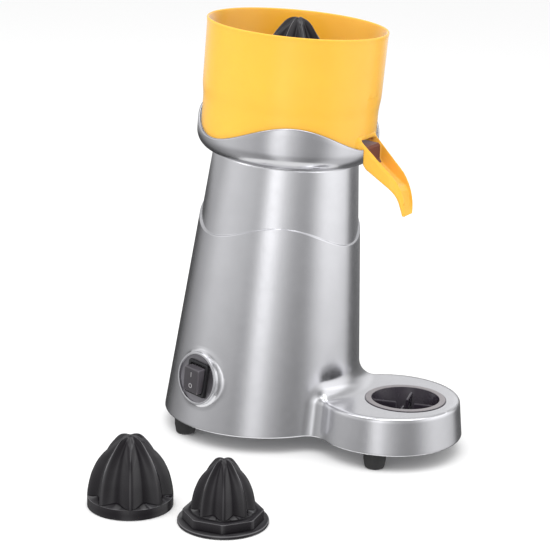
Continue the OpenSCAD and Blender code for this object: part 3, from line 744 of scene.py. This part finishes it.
def build_reamers():
    n = 192
    for name, body, node, size, place, flute, hollow, depth in (
            ("mounted_reamer", "reamer", "reamer", (36, 71), lambda p: on_axis(p + [0, 0, 329]), 9, 25, 46.8),
            ("large_reamer_cone", "large_reamer", "large_reamer", (38.7, 66.5), at(5.5, -255.8, 0, -12),
             10, 27, 42)):
        rows = underside(hollow, depth, n, size[0]) + ribbed(*size, flute, n)[1:]
        verts, faces = skin(rows)
        add_object(name, place(verts), faces, MAT["reamer_plastic"], body=body, slot="reamer_plastic",
                   replaces=(node,), angle=42)
    # The small one stands on a round flange and an eight-sided shoulder
    t = full_turn(n)
    flat = 36.5 * math.cos(math.pi / 8)
    facet = (t % (math.pi / 4)) - math.pi / 8
    octagon = np.minimum(flat / np.cos(facet), 35.9)
    rows = underside(19, 42, n, 40.5)
    rows += [ring_points(r, z, t)
             for r, z in ((40.2, 0.2), (40.5, 0.8), (40.5, 2.6), (40.1, 3.15), (39.4, 3.3))]
    rows += [ring_points(octagon - inset, z, t)
             for inset, z in ((-0.7, 3.3), (-0.2, 3.6), (0, 4.4), (0, 10.9), (0.3, 11.6), (1.0, 11.9))]
    rows += [row + [0, 0, 11.9] for row in ribbed(28.6, 47.6, 0.6, n)]
    verts, faces = skin(rows)
    add_object("small_reamer_cone", at(96.2, -246, 0, -15)(verts), faces, MAT["reamer_plastic"],
               body="small_reamer", slot="reamer_plastic", replaces=("small_reamer",), angle=42)


build_reamers()


# ---- drip cup ----
def build_drip_cup():
    top, bottom = 53.8, 26.8
    profile = rounded([(0, bottom, 0), (31, bottom, 2), (35.6, 50.6, 0.4), (39.7, 50.6, 0.5),
                       (39.7, 53.3, 0.4), (33.2, 53.3, 0.3), (27.8, bottom + 2.2, 3), (0, bottom + 2.2, 0)])
    rim = rounded([(33.3, 53.1, 0.1), (33.5, top, 0.4), (38.9, top, 0.5), (39.1, 53.1, 0.1)])
    # The rim is painted a lighter grey than the black tray: a painted sheen
    lathe("drip_cup_rim", rim, at(CUP_X, 0), MAT["painted_sheen_rim"], n=128, body="drip_cup", slot="black_plastic")
    lathe("drip_cup_tray", profile, at(CUP_X, 0), MAT["black_plastic"], n=128, loop=False, body="drip_cup",
          slot="black_plastic", replaces=("drip_cup",))
    section = rounded([(-1.3, bottom + 1, 0), (1.3, bottom + 1, 0), (1.3, 48.8, 1.2), (-1.3, 48.8, 1.2)], 6)
    n = len(section)
    # Each rib of the cross has a bevelled inner end, and an outer end that follows the sloping wall
    for k in range(4):
        verts = []
        for r in (9, 9.6, 33.2):
            drop = 0.6 if r == 9 else 0
            for x, z in section:
                verts.append((r if r < 30 else 28.6 + (z - bottom) * 0.2, x, z - (drop if z > 40 else 0)))
        faces = []
        for ring in range(2):
            for i in range(n):
                j = (i + 1) % n
                faces.append([ring * n + i, ring * n + j, (ring + 1) * n + j, (ring + 1) * n + i])
        faces += [list(range(n)), list(range(2 * n, 3 * n))[::-1]]
        add_object("drip_cup_rib_%d" % (k + 1), at(CUP_X, 0, 0, 13 + 90 * k)(verts), faces,
                   MAT["black_plastic"], body="drip_cup", slot="black_plastic")


build_drip_cup()


# ---- switch ----
def rounded_path(width, height, radius, steps=6):
    return rounded([(-width / 2, -height / 2, radius), (width / 2, -height / 2, radius),
                    (width / 2, height / 2, radius), (-width / 2, height / 2, radius)], steps)


def build_switch():
    wall = on_wall(SWITCH_TURN, SWITCH_S)
    bezel = rounded([(23.7, 1.0, 0), (23.7, 4.7, 0.6), (26.3, 4.7, 1.4), (26.9, 1.0, 0)], 6)
    lathe("switch_bezel", bezel, wall, MAT["satin_aluminium"], n=128, body="machine", slot="satin_aluminium")
    t = full_turn(96)
    inner = np.minimum(16.4 / np.maximum(np.abs(np.cos(t)), 1e-6), 12.9 / np.maximum(np.abs(np.sin(t)), 1e-6))
    rows = [ring_points(r, z, t)
            for r, z in ((inner, 1.55), (23.8, 1.55), (23.8, 2.1), (23.2, 1.9), (inner, 1.9))]
    verts, faces = skin(rows, True)
    # The recess inside the bezel is painted darker: painted shade
    add_object("switch_recess", wall(verts), faces, MAT["painted_shade_recess"], body="machine",
               slot="cast_aluminium")
    rows = []
    for w, h, r, z in ((34, 27, 2.4, 2.25), (34, 27, 2.4, 3.7), (33.4, 26.4, 2.1, 4.3),
                       (32.4, 25.4, 1.8, 4.5), (29.2, 22.0, 1.2, 4.5), (28.2, 21.0, 1.0, 4.2),
                       (27.6, 20.4, 0.9, 3.6), (27.6, 20.4, 0.9, -11), (2, 1.5, 0.3, -11),
                       (0.01, 0.01, 0.001, -11)):
        path = rounded_path(w, h, r)
        rows.append(np.column_stack([path, np.full(len(path), z)]))
    verts, faces = skin(rows)
    add_object("switch_frame", wall(verts), faces, MAT["switch_plastic"], body="machine",
               slot="switch_plastic", replaces=("switch_body",))
    tilt = math.radians(6)

    def rocker(p):
        p = np.asarray(p, float)
        x, z = p[..., 0], p[..., 2]
        q = np.stack([x * math.cos(tilt) + z * math.sin(tilt), p[..., 1],
                      -x * math.sin(tilt) + z * math.cos(tilt) + 1], -1)
        return wall(q)

    side = rounded([(-11.6, -4, 0), (-12.5, 3, 0), (-12.5, 10.4, 1.6), (12.5, 10.4, 1.6), (12.5, 3, 0),
                    (11.6, -4, 0)], 6)
    rows = []
    c = side.mean(0)
    for y, inset in ((-9.9, 1.1), (-9.6, 0.4), (-9.0, 0.05), (-8.6, 0),
                     (8.6, 0), (9.0, 0.05), (9.6, 0.4), (9.9, 1.1)):
        shrunk = side + (c - side) / np.linalg.norm(c - side, axis=1)[:, None] * inset
        rows.append(np.column_stack([shrunk[:, 0], np.full(len(side), y), shrunk[:, 1]]))
    verts, faces = skin(rows)
    n = len(side)
    faces = list(faces) + [list(range(n)), list(range(len(verts) - n, len(verts)))[::-1]]
    add_object("rocker_block", rocker(verts), faces, MAT["rocker_plastic"], body="rocker",
               slot="rocker_plastic", replaces=("switch_rocker",), angle=40)
    verts, faces = box_prism(-8.2, -3.6, -0.45, 0.45, 10.3, 10.55)
    add_object("rocker_mark_line", rocker(verts), faces, MAT["mark_paint"], body="rocker")
    ring = rounded([(1.5, 10.3), (2.4, 10.3), (2.4, 10.55), (1.5, 10.55)])
    verts, faces = skin(lathe_rings(ring, 32), True)
    add_object("rocker_mark_ring", rocker(verts + [5.6, 0, 0]), faces, MAT["mark_paint"], body="rocker")


build_switch()


# ---- feet and cable bush ----
def build_feet():
    profile = rounded([(2.3, 0.6, 0), (5.2, 0.0, 0), (9.3, 0.0, 2.4), (10.9, 9.0, 0), (11.0, 16, 0.2),
                       (2.3, 16, 0)], 6)
    for k, spot in enumerate(((-48, 72), (-48, -72), (155, 58), (155, -58))):
        lathe("rubber_foot_%d" % (k + 1), profile, at(*spot), MAT["foot_rubber"], n=64, body="machine",
              slot="foot_rubber", replaces=("feet",) if k == 0 else ())


def build_inlet_bush():
    profile = rounded([(3.75, -8.4, 0.4), (9.6, -8.4, 0.6), (9.6, -6, 0.4), (7.9, -6, 0), (7.9, -1, 0),
                       (10.6, -1, 0.3), (9.4, 2.5, 0.9), (5.0, 2.5, 0.5), (3.75, 1.4, 0.4)], 4)
    lathe("inlet_bush", profile, on_wall(180, INLET_S), MAT["seal_rubber"], n=48, body="machine",
          slot="seal_rubber", replaces=("cable_inlet_bush",))


build_feet()
build_inlet_bush()

# ---- CAD pieces that stay as they are ----
for part in frame["record"]["subparts"]:
    node = frame["nodes"][part["node"]]
    node.data.materials.clear()
    node.data.materials.append(MAT[part["material_slot"]])


# ---- stage ----
def build_floor():
    half = 20
    corners = [(-half, -half, 0), (half, -half, 0), (half, half, 0), (-half, half, 0)]
    floor = link_mesh("floor", corners, [(0, 1, 2, 3)])
    paint = surface("floor_white", (0.93, 0.93, 0.93), 0.9, bump=0.0, mottle=0.0, rough_spread=0.02, ior=1.05)
    floor.data.materials.append(paint)
    floor.visible_glossy = False


build_floor()

# Soft boxes and dark cards around the juicer: degrees from the camera's side towards the right, and level
CARDS = [(-180, 0.3), (-167, 0.12), (-150, 0.1), (-136, 0.2), (-121, 0.38), (-106, 0.5), (-93, 0.64),
         (-81, 0.72), (-70, 0.7), (-60, 0.66), (-51, 0.62), (-42, 0.58), (-34, 0.52), (-27, 0.62), (-19, 1.0),
         (-11, 1.25), (-4, 1.1), (3, 0.82), (10, 0.66), (18, 0.52), (26, 0.44), (34, 0.42), (43, 0.52),
         (52, 0.76), (60, 0.95), (70, 1.08), (81, 1.08), (92, 1.02), (103, 0.9), (113, 0.5), (125, 0.2),
         (143, 0.22), (155, 0.28), (167, 0.14), (180, 0.3)]
CARD_SCALE = 1.5
CAMERA_TURN = 28.0


def surround_light():
    """Light for the drum, which changes with the direction and the height"""
    mat = bpy.data.materials.new("surround_light")
    mat.use_nodes = True
    mat.cycles.emission_sampling = "NONE"
    nodes, links = mat.node_tree.nodes, mat.node_tree.links
    nodes.clear()
    out = nodes.new("ShaderNodeOutputMaterial")
    emit = nodes.new("ShaderNodeEmission")
    coords = nodes.new("ShaderNodeTexCoord")
    split = nodes.new("ShaderNodeSeparateXYZ")
    links.new(coords.outputs["Object"], split.inputs["Vector"])
    x, y, z = (split.outputs[axis] for axis in "XYZ")

    def ramp(source, low, high, start, end):
        return map_range(mat, source, low, high, start, end, "SMOOTHSTEP")

    # The direction as a share of a full turn, with the camera's side at one half
    angle = calc(mat, "ARCTAN2", x, calc(mat, "MULTIPLY", y, -1))
    share = calc(mat, "MULTIPLY", angle, 1 / (2 * math.pi))
    turned = calc(mat, "WRAP", calc(mat, "ADD", share, 0.5 - CAMERA_TURN / 360), 1.0)
    turned.node.inputs[2].default_value = 0.0
    levels = nodes.new("ShaderNodeFloatCurve")
    points = levels.mapping.curves[0].points
    while len(points) > 2:
        points.remove(points[1])
    points[0].location = (0, CARDS[0][1] / CARD_SCALE)
    points[1].location = (1, CARDS[-1][1] / CARD_SCALE)
    for degrees, level in CARDS[1:-1]:
        points.new((degrees + 180) / 360, level / CARD_SCALE)
    levels.mapping.update()
    links.new(turned, levels.inputs["Value"])
    ring = calc(mat, "MULTIPLY", levels.outputs["Value"], ramp(z, -0.28, 0.22, 0.9, 1.55))
    # Panels behind and beside the juicer, which surfaces that face upwards show
    away = calc(mat, "ABSOLUTE", calc(mat, "SUBTRACT", turned, 0.5), 0)
    behind = calc(mat, "MULTIPLY", ramp(away, 0.30, 0.42, 0.0, 0.62), ramp(z, 0.1, 0.28, 0.0, 1.0))
    beside = calc(mat, "MULTIPLY", ramp(away, 0.13, 0.26, 0.0, 0.5), ramp(z, 0.32, 0.55, 0.0, 1.0))
    panel = calc(mat, "MAXIMUM", behind, beside)
    # A little darker halfway up, and a soft box at the top
    shade = calc(mat, "MULTIPLY", ramp(z, 0.42, 0.75, 1.0, 0.72), ramp(z, 1.3, 1.75, 1.0, 2.6))
    links.new(calc(mat, "MULTIPLY", calc(mat, "ADD", ring, panel), shade), emit.inputs["Strength"])
    emit.inputs["Color"].default_value = (0.985, 0.985, 1.0, 1)
    links.new(emit.outputs[0], out.inputs["Surface"])
    return mat


def build_surround():
    """A drum around the stage that only glossy surfaces show"""
    radius, low, high = 0.9, -1.0, 1.9
    t = full_turn(180)
    verts, faces = skin([ring_points(r, z, t) for r, z in ((radius, low), (radius, high), (0, high))])
    obj = link_mesh("surround", verts, faces)
    obj.data.materials.append(surround_light())
    obj.visible_camera = obj.visible_diffuse = obj.visible_shadow = obj.visible_transmission = False


build_surround()


def area_light(name, place, target, size, power):
    data = bpy.data.lights.new(name, "AREA")
    data.shape, data.size, data.size_y, data.energy = "RECTANGLE", size[0], size[1], power
    obj = bpy.data.objects.new(name, data)
    bpy.context.scene.collection.objects.link(obj)
    obj.location = place
    obj.rotation_mode = "QUATERNION"
    obj.rotation_quaternion = (Vector(target) - Vector(place)).to_track_quat("-Z", "Y")
    obj.visible_camera = obj.visible_glossy = False


area_light("soft_top", (0.1, -0.5, 2.2), (0.05, -0.05, 0.1), (2.2, 2.2), 28)
area_light("soft_left", (-1.6, -1.5, 1.2), (0, 0, 0.2), (1.2, 1.6), 5)
world = bpy.data.worlds.new("studio")
bpy.context.scene.world = world
world.use_nodes = True
background = world.node_tree.nodes["Background"]
background.inputs["Color"].default_value = (1.0, 1.0, 1.0, 1)
background.inputs["Strength"].default_value = 1.0

# ---- camera ----
camera_data = bpy.data.cameras.new("camera")
camera = bpy.data.objects.new("camera", camera_data)
bpy.context.scene.collection.objects.link(camera)
bpy.context.scene.camera = camera
camera_data.lens, camera_data.sensor_width = 111.6, 36
camera.location = (0.7853, -1.4557, 0.606)
camera.rotation_mode = "QUATERNION"
look = Vector((0.0113, 0.0, 0.156)) - camera.location
camera.rotation_quaternion = look.to_track_quat("-Z", "Y") @ Quaternion((0, 0, 1), math.radians(1.38))
bpy.context.scene.view_settings.view_transform = "Standard"

# The metal's reflections leave these pieces out
for obj in bpy.data.objects:
    if obj.name.startswith(("bowl_", "collar_shell", "drip_cup", "small_reamer", "large_reamer")):
        obj.visible_glossy = False
